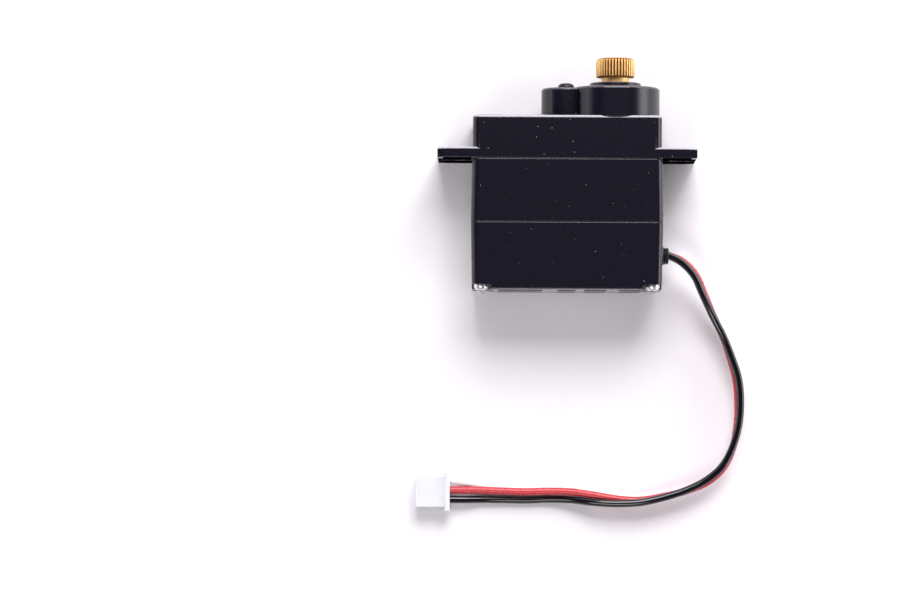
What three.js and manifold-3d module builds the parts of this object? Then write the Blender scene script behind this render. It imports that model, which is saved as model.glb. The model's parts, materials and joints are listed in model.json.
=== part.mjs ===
// A mini servo motor: a three-shell plastic case with mounting tabs, a motor, a four-stage gear train,
// an output shaft with a 38-tooth spline, a position sensor, a control board and a plugged three-wire lead.
//
// Millimetres. The servo lies on its wide back face: z is up from that face, x runs across the tabs, and
// y runs from the bottom face of the case towards the spline. Every shape is drawn with y = 0 on the bottom
// face, and the finished group is then moved so that the origin is under the middle of the servo.
import * as THREE from "three";
import { mergeVertices } from "three/addons/utils/BufferGeometryUtils.js";
import Module from "manifold-3d";

const wasm = await Module();
wasm.setup();

// ---------------------------------------------------------------- driving dimensions

const CASE_DEPTH = 13; // z, back face to front face
const MIDDLE = CASE_DEPTH / 2; // z of every gear axis
const WALL = 1;
const CORNER = 0.8; // radius of the case's upright edges

// y of the seams between the three shells, and of the faces above them
const FLOOR_TOP = 1.8;
const LOW_SEAM = 10.1;
const HIGH_SEAM = 19.7;
const TAB_BOTTOM = 19.8;
const TAB_TOP = 21.4;
const ROOF = 26.3;
const HEAD_TOP = 30.85;
const COLLAR_TOP = 31.6;
const SPLINE_BOTTOM = 32.45;
const SPLINE_TOP = 35.4;

// half widths across x: the two lower shells are drafted, so each has one for either end
const TOP_HALF = 14.3;
const RIM_HALF = 14.45; // the rim that the top shell rests on, as wide as the shell below it
const MID_HALF = { low: 14.55, high: 14.4 };
const BOTTOM_HALF = { low: 14.35, high: 14.55 };
const TAB_HALF = 19.65;
const TAB_HOLE = { x: 16.9, radius: 1.15 };

// gear train: the motor and the second gear share one axis, the first and third gears another
const FINE = 0.25; // module of the first three stages
const COARSE = 0.3; // module of the last stage
const PINION_TEETH = 10;
const WHEEL_TEETH = 40;
const LAST_PINION_TEETH = 15;
const OUTPUT_TEETH = 35;
const OUTPUT_X = 7.35;
const AXLE_X = OUTPUT_X - (COARSE * (LAST_PINION_TEETH + OUTPUT_TEETH)) / 2;
const MOTOR_X = AXLE_X - (FINE * (PINION_TEETH + WHEEL_TEETH)) / 2;
const AXLE_RADIUS = 0.6;
const RUNNING_GAP = 0.06;

const HEAD_RADIUS = 6.75; // the big lobe is cut flush with the front and back faces
const LOBE_RADIUS = 3.75;
const COLLAR_RADIUS = 3.9;
const SPLINE_TEETH = 38;

// long case screws, one in each corner
const SCREW_X = 12.95;
const SCREW_INSET = 1.35; // from the front and back faces
const SCREW_RADIUS = 0.6;
const SCREW_HEAD = { radius: 1.1, low: -0.3, high: 0.65 };

const GROMMET_Y = 5.3;
const WIRE = 1.15; // outer diameter of each wire of the lead
const GAP = 0.3; // between cords and the pieces that they meet

// middle of the servo along y, without its lead
const CENTRE_Y = (SPLINE_TOP + SCREW_HEAD.low) / 2;

// The lead's route. Each row is a point of the red wire, x, y, z, then how far the black and the white
// wires lie to its left and above it: the three leave the grommet stacked on edge and reach the plug flat.
const LEAD_ROUTE = [
  [15.8, 5.3, 6.45, -0.1, 1.25, 0.1, -1.25],
  [17.6, 4.6, 6.1, -0.3, 1.2, 0.1, -1.25],
  [19.7, 2.6, 5.0, -0.35, 1.2, 0, -1.25],
  [21.2, -0.5, 3.5, -0.3, 1.2, 0, -1.25],
  [22.6, -3.65, 2.3, -0.15, 1.25, 0, -1.25],
  [24.1, -6.8, 1.9, 0, 1.25, 0, -1.25],
  [25.3, -10.3, 1.85, 0.2, 1.25, 0.1, -1.25],
  [26.1, -13.3, 1.85, 0.35, 1.2, 0.1, -1.25],
  [26.4, -16.7, 1.85, 0.35, 1.2, 0.1, -1.25],
  [26.3, -20.2, 1.85, 0.2, 1.25, 0, -1.25],
  [25.6, -23.8, 1.85, -0.1, 1.25, 0, -1.25],
  [24.25, -26.7, 1.85, -0.3, 1.2, 0, -1.25],
  [21.9, -28.9, 1.85, -0.35, 1.2, 0, -1.25],
  [18.65, -30.3, 1.85, -0.1, 1.25, 0, -1.25],
  [15.15, -31.2, 1.85, 0.15, 1.25, 0, -1.25],
  [11.55, -31.8, 1.85, 0.35, 1.2, -0.1, -1.25],
  [8.15, -31.65, 1.85, 0.7, 1.05, -0.3, -1.22],
  [4.65, -31.1, 1.85, 1.1, 0.6, -0.35, -1.22],
  [1.15, -30.6, 1.85, 1.2, -0.4, -0.35, -1.22],
  [-2.45, -30.5, 1.85, 1.2, -1.1, -0.3, -1.22],
  [-6.05, -30.6, 1.85, 1.25, -1.2, -0.3, -1.22],
  [-9.7, -30.5, 1.85, 1.3, -1.2, -0.3, -1.22],
  [-13, -30.4, 1.8, 1.4, -0.95, -0.65, -1.1],
  [-15.4, -30.4, 1.7, 1.45, -0.4, -1.2, -0.6],
  [-17.3, -30.4, 1.65, 1.45, 0, -1.5, 0],
];

const PLUG = {
  far: -22.85,
  mouth: LEAD_ROUTE[LEAD_ROUTE.length - 1][0] - GAP,
  flangeThickness: 0.75,
  y: -30.65,
  halfWidth: 2.4,
  flangeHalfWidth: 2.95,
  height: 3.1,
  pitch: 1.5,
};

// ---------------------------------------------------------------- materials

function material(color, roughness, metalness = 0) {
  return new THREE.MeshStandardMaterial({ color, roughness, metalness });
}

const BLACK_PLASTIC = material(0x1c1a24, 0.45);
const BRASS = material(0xc9974f, 0.3, 0.9);
const STEEL = material(0xb8babd, 0.3, 0.9);
const BLACK_STEEL = material(0x17161a, 0.35, 0.6);
const FOIL = material(0xb9b7ba, 0.4, 0.5);
const RUBBER = material(0x121114, 0.7);
const COPPER = material(0xb06a3a, 0.35, 0.9);
const MAGNET = material(0x4a4a4d, 0.6);
const BEIGE_PLASTIC = material(0xd8cfb8, 0.5);
const CIRCUIT = material(0x1f5a35, 0.5);
const CHIP = material(0x202022, 0.55);
const WHITE_PLASTIC = material(0xf1f1f2, 0.4);
const BLACK_WIRE = material(0x1d1b21, 0.4);
const RED_WIRE = material(0xc8343c, 0.4);
const WHITE_WIRE = material(0xf0eff0, 0.4);

// ---------------------------------------------------------------- solids

// A manifold solid from a closed geometry, its faces turned outwards.
function solidOf(geometry) {
  const bare = new THREE.BufferGeometry();
  bare.setAttribute("position", geometry.getAttribute("position"));
  if (geometry.index) bare.setIndex(geometry.index);
  const merged = mergeVertices(bare, 1e-4);
  const corners = [];
  for (let i = 0; i < merged.index.count; i += 3) {
    const [a, b, c] = [0, 1, 2].map((k) => merged.index.getX(i + k));
    if (a !== b && b !== c && c !== a) corners.push(a, b, c);
  }
  const build = () =>
    new wasm.Manifold(
      new wasm.Mesh({
        numProp: 3,
        vertProperties: merged.getAttribute("position").array,
        triVerts: new Uint32Array(corners),
      }),
    );
  const solid = build();
  if (solid.volume() > 0) return solid;
  corners.reverse();
  return build();
}

function geometryOf(solid) {
  const mesh = solid.getMesh();
  const geometry = new THREE.BufferGeometry();
  geometry.setAttribute("position", new THREE.BufferAttribute(mesh.vertProperties, 3));
  geometry.setIndex(new THREE.BufferAttribute(mesh.triVerts, 1));
  geometry.computeVertexNormals();
  return geometry;
}

const join = (...solids) => solids.reduce((all, next) => all.add(next));
const cut = (solid, ...tools) => tools.reduce((left, tool) => left.subtract(tool), solid);

// A round bar along y, standing at x, z.
function rod(radius, low, high, x, z = MIDDLE, sides = 24) {
  const geometry = new THREE.CylinderGeometry(radius, radius, high - low, sides);
  geometry.translate(x, (low + high) / 2, z);
  return solidOf(geometry);
}

// A round tube along y.
function ring(inner, outer, low, high, x, z = MIDDLE, sides = 24) {
  return cut(rod(outer, low, high, x, z, sides), rod(inner, low - 1, high + 1, x, z, sides));
}

// A turned piece along y: radius and height pairs that start and end on the axis.
function turned(profile, x, z = MIDDLE, sides = 24) {
  const points = profile.map(([radius, y]) => new THREE.Vector2(radius, y));
  const geometry = new THREE.LatheGeometry(points, sides);
  geometry.translate(x, 0, z);
  return solidOf(geometry);
}

// A block between two corners.
function block([x0, y0, z0], [x1, y1, z1]) {
  const geometry = new THREE.BoxGeometry(x1 - x0, y1 - y0, z1 - z0);
  geometry.translate((x0 + x1) / 2, (y0 + y1) / 2, (z0 + z1) / 2);
  return solidOf(geometry);
}

// An outline in x and z, about the middle depth, raised along y.
function upright(outline, low, high, curveSegments = 2) {
  const settings = { depth: high - low, bevelEnabled: false, curveSegments };
  const geometry = new THREE.ExtrudeGeometry(outline, settings);
  geometry.rotateX(-Math.PI / 2);
  geometry.translate(0, low, MIDDLE);
  return geometry;
}

// An outline in y and z, raised along x from one place to another.
function crosswise(outline, from, to, y, z, curveSegments = 3) {
  const settings = { depth: to - from, bevelEnabled: false, curveSegments };
  const geometry = new THREE.ExtrudeGeometry(outline, settings);
  const turn = new THREE.Matrix4().makeBasis(
    new THREE.Vector3(0, 1, 0),
    new THREE.Vector3(0, 0, 1),
    new THREE.Vector3(1, 0, 0),
  );
  geometry.applyMatrix4(turn);
  geometry.translate(from, y, z);
  return solidOf(geometry);
}

function roundedRectangle(halfWidth, halfDepth, radius) {
  const shape = new THREE.Shape();
  const [w, d] = [halfWidth - radius, halfDepth - radius];
  shape.moveTo(halfWidth, -d);
  shape.lineTo(halfWidth, d);
  shape.absarc(w, d, radius, 0, Math.PI / 2);
  shape.absarc(-w, d, radius, Math.PI / 2, Math.PI);
  shape.absarc(-w, -d, radius, Math.PI, 1.5 * Math.PI);
  shape.absarc(w, -d, radius, 1.5 * Math.PI, 2 * Math.PI);
  return shape;
}

// A case block whose width changes evenly from its low end to its high end.
function draftedBlock(half, low, high, depth = CASE_DEPTH, radius = CORNER) {
  const geometry = upright(roundedRectangle(half.high, depth / 2, radius), low, high);
  const place = geometry.getAttribute("position");
  for (let i = 0; i < place.count; i += 1) {
    const share = (high - place.getY(i)) / (high - low);
    const scale = 1 + (half.low / half.high - 1) * share;
    place.setX(i, place.getX(i) * scale);
  }
  return solidOf(geometry);
}

const CORNERS = [
  [-1, -1],
  [1, -1],
  [-1, 1],
  [1, 1],
].map(([x, z]) => ({ x: x * SCREW_X, z: MIDDLE + z * (MIDDLE - SCREW_INSET), sideX: x, sideZ: z }));

function cornerRods(radius, low, high, sides = 12) {
  return CORNERS.map(({ x, z }) => rod(radius, low, high, x, z, sides));
}

// The hollow of a shell, as far as its corner posts allow.
function hollow(halfWidth, halfDepth, low, high) {
  const space = solidOf(upright(roundedRectangle(halfWidth, halfDepth, 0.6), low, high, 1));
  return cut(space, ...cornerRods(SCREW_RADIUS + 0.55, low - 1, high + 1));
}

// ---------------------------------------------------------------- gears

const PRESSURE_ANGLE = THREE.MathUtils.degToRad(20);
const TOOTH_SHARE = 0.88; // tooth thickness as a share of half the pitch, which leaves backlash

// A gear's outline with involute flanks, one tooth centred on the angle phase.
function gearOutline(teeth, size, phase, flankRadii) {
  const pitchRadius = (size * teeth) / 2;
  const baseRadius = pitchRadius * Math.cos(PRESSURE_ANGLE);
  const involute = (angle) => Math.tan(angle) - angle;
  const halfAngle = (radius) => {
    const angle = radius > baseRadius ? Math.acos(baseRadius / radius) : 0;
    const atPitch = (Math.PI * TOOTH_SHARE) / (2 * teeth);
    return atPitch + involute(PRESSURE_ANGLE) - involute(angle);
  };
  const outline = new THREE.Shape();
  const points = [];
  for (let tooth = 0; tooth < teeth; tooth += 1) {
    const centre = phase + (2 * Math.PI * tooth) / teeth;
    const rising = flankRadii.map((radius) => [radius, centre - halfAngle(radius)]);
    const falling = flankRadii.map((radius) => [radius, centre + halfAngle(radius)]).reverse();
    for (const [radius, angle] of [...rising, ...falling])
      points.push(new THREE.Vector2(radius * Math.cos(angle), radius * Math.sin(angle)));
  }
  outline.setFromPoints(points);
  return outline;
}

function wheelRadii(teeth, size) {
  const pitchRadius = (size * teeth) / 2;
  return [pitchRadius - 1.2 * size, pitchRadius + 0.85 * size];
}

function pinionRadii(teeth, size) {
  const pitchRadius = (size * teeth) / 2;
  const baseRadius = pitchRadius * Math.cos(PRESSURE_ANGLE);
  const tip = pitchRadius + 0.9 * size;
  return [pitchRadius - 1.2 * size, baseRadius, (baseRadius + tip) / 2, tip];
}

function gear(teeth, size, phase, radii, low, high, x) {
  const geometry = upright(gearOutline(teeth, size, phase, radii(teeth, size)), low, high);
  geometry.translate(x, 0, 0);
  return solidOf(geometry);
}

const wheel = (phase, low, high, x) => gear(WHEEL_TEETH, FINE, phase, wheelRadii, low, high, x);
const pinion = (phase, low, high, x) => gear(PINION_TEETH, FINE, phase, pinionRadii, low, high, x);

// Phases that put a tooth of each pinion into a gap of its wheel at rest.
const TOWARDS_OUTPUT = 0;
const TOWARDS_MOTOR = Math.PI;
const facing = (direction, teeth) => direction + Math.PI + Math.PI / teeth;

// y of each layer of teeth
const FIRST = { low: 20.1, high: 21.3 };
const SECOND = { low: 21.7, high: 22.8 };
const THIRD = { low: 23.3, high: 24.5 };
const LAST = { low: 25.3, high: 27.9 };

// ---------------------------------------------------------------- scene graph

const servo = new THREE.Group();
const placed = new THREE.Group();
placed.position.y = -CENTRE_Y;
servo.add(placed);

function group() {
  const made = new THREE.Group();
  placed.add(made);
  return made;
}

function addPiece(parent, name, look, solid) {
  const mesh = new THREE.Mesh(geometryOf(solid), look);
  mesh.name = name;
  parent.add(mesh);
}

// ---------------------------------------------------------------- case

const caseGroup = group();
const HEAD_HOLLOW_TOP = 28.9;
const CEILING = ROOF - WALL;
const PLATE_BOTTOM = HIGH_SEAM - 1.2;

// Two round lobes side by side: one round the output shaft and one round the gear axle.
function headBlock(bigRadius, smallRadius, low, high) {
  return join(
    rod(bigRadius, low, high, OUTPUT_X, MIDDLE, 40),
    rod(smallRadius, low, high, AXLE_X, MIDDLE, 32),
  );
}

function topCase() {
  const shell = solidOf(upright(roundedRectangle(TOP_HALF, MIDDLE, CORNER), HIGH_SEAM, ROOF));
  const tabs = solidOf(upright(roundedRectangle(TAB_HALF, MIDDLE, 1.3), TAB_BOTTOM, TAB_TOP));
  const rim = solidOf(upright(roundedRectangle(RIM_HALF, MIDDLE, CORNER), HIGH_SEAM, TAB_TOP - 0.5));
  const head = headBlock(HEAD_RADIUS, LOBE_RADIUS, ROOF - 0.5, HEAD_TOP).intersect(
    block([-TOP_HALF, ROOF - 1, 0], [TOP_HALF, HEAD_TOP + 1, CASE_DEPTH]),
  );
  const collar = rod(COLLAR_RADIUS, HEAD_TOP - 0.5, COLLAR_TOP, OUTPUT_X, MIDDLE, 32);
  const inside = hollow(TOP_HALF - WALL, MIDDLE - 0.8, HIGH_SEAM - 1, CEILING);
  const gearRoom = headBlock(5.75, 2.75, CEILING - 1, HEAD_HOLLOW_TOP);
  const bearingSeat = rod(3.2, HEAD_HOLLOW_TOP - 1, 30.65, OUTPUT_X);
  const shaftHole = rod(2.6, HEAD_TOP - 1, COLLAR_TOP + 1, OUTPUT_X);
  const axleHole = rod(0.7, HEAD_HOLLOW_TOP - 1, HEAD_TOP + 1, AXLE_X, MIDDLE, 12);
  const pinHole = rod(AXLE_RADIUS + 0.03, CEILING - 1, CEILING + 0.65, MOTOR_X, MIDDLE, 12);
  const tabHoles = [-1, 1].map((side) =>
    rod(TAB_HOLE.radius, HIGH_SEAM - 1, TAB_TOP + 1, side * TAB_HOLE.x, MIDDLE, 20),
  );
  const screwHoles = cornerRods(SCREW_RADIUS + 0.05, HIGH_SEAM - 1, CEILING - 0.6);
  const body = join(shell, rim, tabs, head, collar);
  const bores = [bearingSeat, shaftHole, axleHole, pinHole, ...tabHoles, ...screwHoles];
  return cut(body, inside, gearRoom, ...bores);
}

const MOTOR_SCREW_OFFSET = 3.2;
const motorScrewPlaces = [MIDDLE - MOTOR_SCREW_OFFSET, MIDDLE + MOTOR_SCREW_OFFSET];

function motorScrewHoles(low, high) {
  return motorScrewPlaces.map((z) => rod(0.6, low, high, MOTOR_X, z, 10));
}

function midCase() {
  const body = draftedBlock(MID_HALF, LOW_SEAM, HIGH_SEAM);
  const inside = hollow(MID_HALF.high - WALL, MIDDLE - WALL, LOW_SEAM - 1, PLATE_BOTTOM);
  const motorHole = rod(1.7, PLATE_BOTTOM - 1, HIGH_SEAM + 1, MOTOR_X);
  const bushHole = rod(2.45, PLATE_BOTTOM - 1, HIGH_SEAM + 1, OUTPUT_X);
  const axleSeat = rod(AXLE_RADIUS + 0.03, HIGH_SEAM - 0.8, HIGH_SEAM + 1, AXLE_X, MIDDLE, 12);
  const screwHoles = [
    ...motorScrewHoles(PLATE_BOTTOM - 1, HIGH_SEAM + 1),
    ...cornerRods(SCREW_RADIUS + 0.05, LOW_SEAM - 1, HIGH_SEAM + 1),
  ];
  return cut(body, inside, motorHole, bushHole, axleSeat, ...screwHoles);
}

// The open corner that a case screw's head sits in.
function cornerNotch({ x, z, sideX, sideZ }) {
  const radius = 1.6;
  const [low, high] = [-1, SCREW_HEAD.high];
  const reach = 3;
  const across = (from, to) => [Math.min(from, to), Math.max(from, to)];
  const [xLow, xHigh] = across(x - sideX * radius, x + sideX * reach);
  const [zLow, zHigh] = across(z, z + sideZ * reach);
  const [x2Low, x2High] = across(x, x + sideX * reach);
  const [z2Low, z2High] = across(z - sideZ * radius, z + sideZ * reach);
  return join(
    rod(radius, low, high, x, z, 20),
    block([xLow, low, zLow], [xHigh, high, zHigh]),
    block([x2Low, low, z2Low], [x2High, high, z2High]),
  );
}

function bottomCase() {
  const body = draftedBlock(BOTTOM_HALF, 0, LOW_SEAM);
  const inside = hollow(BOTTOM_HALF.low - WALL, MIDDLE - WALL, FLOOR_TOP, LOW_SEAM + 1);
  const notches = CORNERS.map(cornerNotch);
  const screwHoles = cornerRods(SCREW_RADIUS + 0.05, -1, LOW_SEAM + 1);
  const leadHole = crosswise(roundedRectangle(1.05, 2.35, 1), 12, 16, GROMMET_Y, MIDDLE);
  return cut(body, inside, ...notches, ...screwHoles, leadHole);
}

addPiece(caseGroup, "top_case", BLACK_PLASTIC, topCase());
addPiece(caseGroup, "mid_case", BLACK_PLASTIC, midCase());
addPiece(caseGroup, "bottom_case", BLACK_PLASTIC, bottomCase());
addPiece(caseGroup, "bottom_label", FOIL, block([-11.1, -0.1, 1.2], [11.1, 0, CASE_DEPTH - 1.2]));

// ---------------------------------------------------------------- screws

// A pan-head screw along y: its head is below its shank when up is 1, and above it when up is -1.
function panScrew({ x, z, up, seat, headRadius, headHeight, shankRadius, length }) {
  const y = (along) => seat + up * along;
  const profile = [
    [0, y(-headHeight)],
    [0.6 * headRadius, y(-headHeight)],
    [0.92 * headRadius, y(-0.75 * headHeight)],
    [headRadius, y(-0.4 * headHeight)],
    [headRadius, y(0)],
    [shankRadius, y(0)],
    [shankRadius, y(length - 0.4)],
    [0.5 * shankRadius, y(length)],
    [0, y(length)],
  ];
  const size = 0.28 * headRadius;
  const reach = 0.62 * headRadius;
  const ends = [y(-headHeight - 0.1), y(-0.5 * headHeight)].sort((a, b) => a - b);
  const slot = (halfX, halfZ) =>
    block([x - halfX, ends[0], z - halfZ], [x + halfX, ends[1], z + halfZ]);
  return cut(turned(profile, x, z, 12), slot(size / 2, reach), slot(reach, size / 2));
}

CORNERS.forEach(({ x, z }, i) => {
  const screw = panScrew({
    x,
    z,
    up: 1,
    seat: SCREW_HEAD.high,
    headRadius: SCREW_HEAD.radius,
    headHeight: SCREW_HEAD.high - SCREW_HEAD.low,
    shankRadius: SCREW_RADIUS,
    length: 22.6,
  });
  addPiece(caseGroup, `case_screw_${i + 1}`, STEEL, screw);
});

addPiece(
  caseGroup,
  "axle_retaining_screw",
  BLACK_STEEL,
  panScrew({
    x: AXLE_X,
    z: MIDDLE,
    up: -1,
    seat: HEAD_TOP,
    headRadius: 1.25,
    headHeight: 0.95,
    shankRadius: 0.65,
    length: 0.95,
  }),
);

// ---------------------------------------------------------------- motor

const motorGroup = group();
const MOTOR = { radius: 5, capBottom: 4.3, canBottom: 5.4, top: 18.4, nose: 19.1 };
const SHAFT = 0.5;
const SHAFT_BORE = SHAFT + 0.05;

function motorCan() {
  const outside = join(
    rod(MOTOR.radius, MOTOR.canBottom, MOTOR.top, MOTOR_X, MIDDLE, 28),
    rod(1.6, MOTOR.top - 0.2, MOTOR.nose, MOTOR_X),
  );
  const inside = rod(MOTOR.radius - 0.4, MOTOR.canBottom - 1, MOTOR.top - 0.6, MOTOR_X, MIDDLE, 28);
  const shaftHole = rod(SHAFT + 0.1, MOTOR.top - 1, MOTOR.nose + 1, MOTOR_X, MIDDLE, 12);
  return cut(outside, inside, shaftHole, ...motorScrewHoles(MOTOR.top - 1, MOTOR.top + 1));
}

function motorEndCap() {
  const outside = join(
    rod(MOTOR.radius, MOTOR.capBottom, MOTOR.canBottom, MOTOR_X, MIDDLE, 28),
    rod(MOTOR.radius - 0.5, MOTOR.canBottom - 0.2, MOTOR.canBottom + 0.7, MOTOR_X, MIDDLE, 28),
  );
  return cut(outside, rod(SHAFT + 0.1, MOTOR.capBottom + 0.4, MOTOR.canBottom + 1, MOTOR_X, MIDDLE, 12));
}

// A three-pole armature: a round stack with three slots.
function motorArmature() {
  const stack = rod(3.25, 8.2, 16.2, MOTOR_X, MIDDLE, 24);
  const slots = [0, 1, 2].map((i) => {
    const geometry = new THREE.BoxGeometry(2.4, 9, 0.7);
    geometry.translate(3.2, 12.2, 0);
    geometry.rotateY((i * 2 * Math.PI) / 3);
    geometry.translate(MOTOR_X, 0, MIDDLE);
    return solidOf(geometry);
  });
  return cut(stack, ...slots, rod(SHAFT_BORE, 8, 17, MOTOR_X, MIDDLE, 12));
}

addPiece(motorGroup, "motor_can", STEEL, motorCan());
addPiece(motorGroup, "motor_end_cap", WHITE_PLASTIC, motorEndCap());
addPiece(motorGroup, "motor_magnet", MAGNET, ring(3.5, 4.5, 7.6, 16.8, MOTOR_X));
addPiece(motorGroup, "motor_armature", COPPER, motorArmature());
addPiece(motorGroup, "motor_commutator", COPPER, ring(SHAFT_BORE, 1.1, 6.4, 7.9, MOTOR_X, MIDDLE, 12));
addPiece(motorGroup, "motor_shaft", STEEL, rod(SHAFT, 4.8, 21.4, MOTOR_X, MIDDLE, 12));
addPiece(
  motorGroup,
  "motor_pinion",
  BRASS,
  cut(pinion(TOWARDS_OUTPUT, 19.95, 21.4, MOTOR_X), rod(SHAFT_BORE, 19, 22, MOTOR_X, MIDDLE, 12)),
);

[-1, 1].forEach((side, i) => {
  const z = MIDDLE + side * 2.6;
  addPiece(
    motorGroup,
    `motor_terminal_${i + 1}`,
    COPPER,
    block([MOTOR_X - 0.6, 3.1, z - 0.15], [MOTOR_X + 0.6, MOTOR.capBottom, z + 0.15]),
  );
});

motorScrewPlaces.forEach((z, i) => {
  const screw = panScrew({
    x: MOTOR_X,
    z,
    up: -1,
    seat: HIGH_SEAM,
    headRadius: 0.95,
    headHeight: 0.45,
    shankRadius: 0.5,
    length: 1.7,
  });
  addPiece(motorGroup, `motor_screw_${i + 1}`, STEEL, screw);
});

// ---------------------------------------------------------------- gear train

const gearGroup = group();
const GEAR_BORE = AXLE_RADIUS + RUNNING_GAP;

function compoundGear(wheelPart, pinionPart, low, high, x) {
  return cut(join(wheelPart, pinionPart), rod(GEAR_BORE, low - 1, high + 1, x, MIDDLE, 16));
}

const firstGear = compoundGear(
  wheel(facing(TOWARDS_OUTPUT, WHEEL_TEETH), FIRST.low, FIRST.high, AXLE_X),
  pinion(TOWARDS_MOTOR, FIRST.high - 0.1, 23, AXLE_X),
  FIRST.low,
  23,
  AXLE_X,
);
const secondGear = compoundGear(
  wheel(facing(TOWARDS_MOTOR, WHEEL_TEETH), SECOND.low, SECOND.high, MOTOR_X),
  pinion(TOWARDS_OUTPUT, SECOND.high - 0.1, 24.6, MOTOR_X),
  SECOND.low,
  24.6,
  MOTOR_X,
);
const lastPinion = gear(
  LAST_PINION_TEETH,
  COARSE,
  TOWARDS_OUTPUT,
  pinionRadii,
  THIRD.high - 0.1,
  28.2,
  AXLE_X,
);
const thirdGear = compoundGear(
  wheel(facing(TOWARDS_OUTPUT, WHEEL_TEETH), THIRD.low, THIRD.high, AXLE_X),
  lastPinion,
  THIRD.low,
  28.2,
  AXLE_X,
);

addPiece(gearGroup, "first_gear", BRASS, firstGear);
addPiece(gearGroup, "second_gear", STEEL, secondGear);
addPiece(gearGroup, "third_gear", STEEL, thirdGear);
addPiece(gearGroup, "gear_axle", STEEL, rod(AXLE_RADIUS, HIGH_SEAM - 0.75, 29.8, AXLE_X, MIDDLE, 16));
addPiece(gearGroup, "second_gear_pin", STEEL, rod(AXLE_RADIUS, 21.75, CEILING + 0.6, MOTOR_X, MIDDLE, 16));

// ---------------------------------------------------------------- output shaft and its bearings

const outputGroup = group();
const NECK = 2.1; // radius of the shaft in the bearing and under the spline
const JOURNAL = 1.5; // radius of the shaft below the output gear

function splineOutline() {
  const points = [];
  for (let tooth = 0; tooth < SPLINE_TEETH; tooth += 1) {
    const centre = (2 * Math.PI * tooth) / SPLINE_TEETH;
    const step = Math.PI / SPLINE_TEETH;
    for (const [radius, share] of [
      [2.68, -1],
      [2.95, -0.25],
      [2.95, 0.25],
    ])
      points.push(
        new THREE.Vector2(
          radius * Math.cos(centre + share * step),
          radius * Math.sin(centre + share * step),
        ),
      );
  }
  return new THREE.Shape(points);
}

function outputShaft() {
  const bar = turned(
    [
      [0, 17.9],
      [JOURNAL, 17.9],
      [JOURNAL, 24.9],
      [NECK, 24.9],
      [NECK, LAST.high + 0.05],
      [2.5, LAST.high + 0.05],
      [2.5, 28.6],
      [NECK, 28.6],
      [NECK, SPLINE_BOTTOM + 0.1],
      [2.6, SPLINE_BOTTOM + 0.1],
      [2.6, SPLINE_TOP],
      [0, SPLINE_TOP],
    ],
    OUTPUT_X,
  );
  const teeth = upright(splineOutline(), SPLINE_BOTTOM, SPLINE_TOP - 0.3);
  teeth.translate(OUTPUT_X, 0, 0);
  const hornScrewHole = rod(0.9, SPLINE_TOP - 5, SPLINE_TOP + 1, OUTPUT_X, MIDDLE, 16);
  const sensorBore = rod(1.1, 16, 21, OUTPUT_X, MIDDLE, 16);
  return cut(join(bar, solidOf(teeth)), hornScrewHole, sensorBore);
}

const outputGear = cut(
  gear(
    OUTPUT_TEETH,
    COARSE,
    facing(TOWARDS_OUTPUT, OUTPUT_TEETH),
    wheelRadii,
    LAST.low,
    LAST.high,
    OUTPUT_X,
  ),
  rod(NECK + 0.05, LAST.low - 1, LAST.high + 1, OUTPUT_X),
);

addPiece(outputGroup, "output_shaft", BRASS, outputShaft());
addPiece(outputGroup, "output_gear", BRASS, outputGear);
addPiece(outputGroup, "bearing_inner_ring", STEEL, ring(NECK + 0.05, 2.5, 28.7, 30.6, OUTPUT_X));
addPiece(outputGroup, "bearing_outer_ring", STEEL, ring(2.7, 3.15, 28.7, 30.6, OUTPUT_X));
addPiece(
  outputGroup,
  "output_bush",
  BRASS,
  ring(JOURNAL + RUNNING_GAP, 2.4, PLATE_BOTTOM - 0.3, HIGH_SEAM + 0.2, OUTPUT_X),
);

// ---------------------------------------------------------------- position sensor

const sensorGroup = group();
const SENSOR = { low: 13.6, high: 17.5 };

const sensorBody = cut(
  rod(4.4, SENSOR.low, SENSOR.high, OUTPUT_X, MIDDLE, 24),
  rod(1.15, 15.3, SENSOR.high + 1, OUTPUT_X, MIDDLE, 12),
);
const sensorShaft = cut(
  rod(1, 15.5, 20.5, OUTPUT_X, MIDDLE, 16),
  block([OUTPUT_X + 0.6, 18, 0], [OUTPUT_X + 2, 21, CASE_DEPTH]),
);
addPiece(sensorGroup, "sensor_body", BEIGE_PLASTIC, sensorBody);
addPiece(sensorGroup, "sensor_shaft", STEEL, sensorShaft);

// ---------------------------------------------------------------- control board

const boardGroup = group();
const BOARD = { low: 2.3, high: 3.1 };

const boardSolid = block([-10.9, BOARD.low, 1.4], [10.9, BOARD.high, CASE_DEPTH - 1.4]);

addPiece(boardGroup, "control_board", CIRCUIT, boardSolid);
addPiece(boardGroup, "control_chip", CHIP, block([0, BOARD.high, 4], [5, 4.1, 9]));
addPiece(boardGroup, "driver_chip", CHIP, block([-0.6, 1.85, 4.2], [3.4, BOARD.low, 8.2]));
addPiece(boardGroup, "board_capacitor", BEIGE_PLASTIC, block([6, BOARD.high, 9.2], [8, 4.2, 10.4]));

// A thin wire along a smooth curve, with flat ends.
function wireAlong(points, diameter, steps, sides) {
  const section = new THREE.Shape(
    Array.from({ length: sides }, (_, i) => {
      const angle = ((i + 0.5) * 2 * Math.PI) / sides;
      return new THREE.Vector2(Math.cos(angle), Math.sin(angle)).multiplyScalar(diameter / 2);
    }),
  );
  const path = new THREE.CatmullRomCurve3(points, false, "centripetal");
  return solidOf(new THREE.ExtrudeGeometry(section, { extrudePath: path, steps }));
}

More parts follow.
